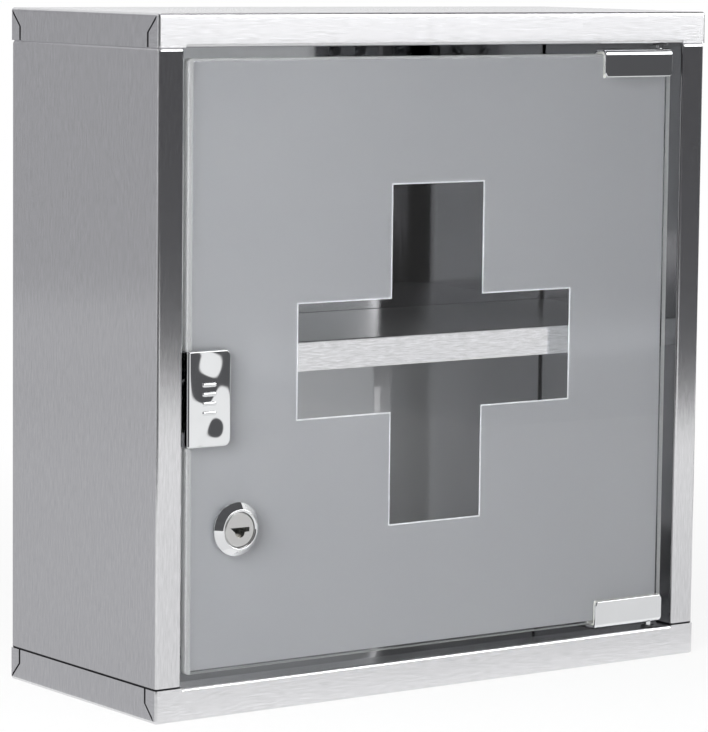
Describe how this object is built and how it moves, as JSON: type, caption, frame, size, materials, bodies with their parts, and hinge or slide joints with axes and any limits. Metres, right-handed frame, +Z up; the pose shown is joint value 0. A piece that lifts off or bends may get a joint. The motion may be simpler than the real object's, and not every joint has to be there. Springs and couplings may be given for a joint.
{
  "type": "glass door medical cabinet",
  "caption": "Wall-hung stainless steel first-aid cabinet with a fixed shelf and an inset frosted glass door with a clear cross, push latch and cam lock.",
  "frame": {"origin": "middle of the underside of the bottom cap", "axes": "+Z up, -Y out of the glass door, +X to the right seen from the front"},
  "size_m": [0.3, 0.1226, 0.3],
  "materials": {
    "brushed_steel": "brushed stainless sheet, grain along each face",
    "inner_steel": "smooth stainless sheet",
    "chrome": "polished chrome plate",
    "satin_steel": "satin nickel plate",
    "zinc_steel": "bright zinc plate",
    "brass": "plain brass",
    "clear_glass": "clear float glass with ground edges",
    "frosted_film": "frosted, light grey",
    "black_plastic": "black moulded plastic",
    "white_plastic": "white moulded plastic",
    "soft_liner": "soft translucent liner",
    "magnet": "dark ferrite"
  },
  "bodies": {
    "case": {"top_cap": "brushed_steel", "bottom_cap": "brushed_steel", "left_side_panel": "brushed_steel", "right_side_panel": "brushed_steel", "back_panel": "inner_steel", "shelf": "brushed_steel", "left_shelf_support": "inner_steel", "right_shelf_support": "inner_steel", "top_pivot_bush": "black_plastic", "bottom_pivot_bush": "black_plastic", "latch_bracket": "inner_steel", "latch_housing": "white_plastic", "latch_screw_front": "zinc_steel", "latch_screw_rear": "zinc_steel", "latch_spring": "zinc_steel"},
    "door": {"glass_pane": "clear_glass", "frosted_film": "frosted_film", "top_hinge_clip": "chrome", "bottom_hinge_clip": "chrome", "top_clip_pad": "soft_liner", "bottom_clip_pad": "soft_liner", "top_pivot_pin": "chrome", "bottom_pivot_pin": "chrome", "top_clip_screw_left": "zinc_steel", "top_clip_screw_right": "zinc_steel", "bottom_clip_screw_left": "zinc_steel", "bottom_clip_screw_right": "zinc_steel", "push_plate": "chrome", "push_plate_pad": "soft_liner", "lock_barrel": "chrome", "lock_gasket": "black_plastic", "lock_washer": "zinc_steel", "lock_nut": "zinc_steel"},
    "lock_core": {"lock_plug": "satin_steel", "lock_wafer_1": "brass", "lock_wafer_2": "brass", "lock_wafer_3": "brass", "lock_wafer_4": "brass", "lock_cam": "zinc_steel", "cam_washer": "zinc_steel", "cam_screw": "zinc_steel"},
    "plunger": {"latch_plunger": "white_plastic", "latch_magnet": "magnet"}
  },
  "joints": [
    {"name": "door_hinge", "type": "hinge", "parent": "case", "child": "door", "pos_m": [0.1248, -0.0566, 0.15], "axis": [0, 0, 1], "range_deg": [0, 110]},
    {"name": "lock_turn", "type": "hinge", "parent": "door", "child": "lock_core", "pos_m": [-0.1089, -0.0586, 0.0805], "axis": [0, 1, 0], "range_deg": [0, 90]},
    {"name": "latch_press", "type": "slide", "parent": "case", "child": "plunger", "axis": [0, 1, 0], "range_m": [0, 0.003], "stiffness_N_per_m": 400, "deforming": ["latch_spring"]}
  ]
}
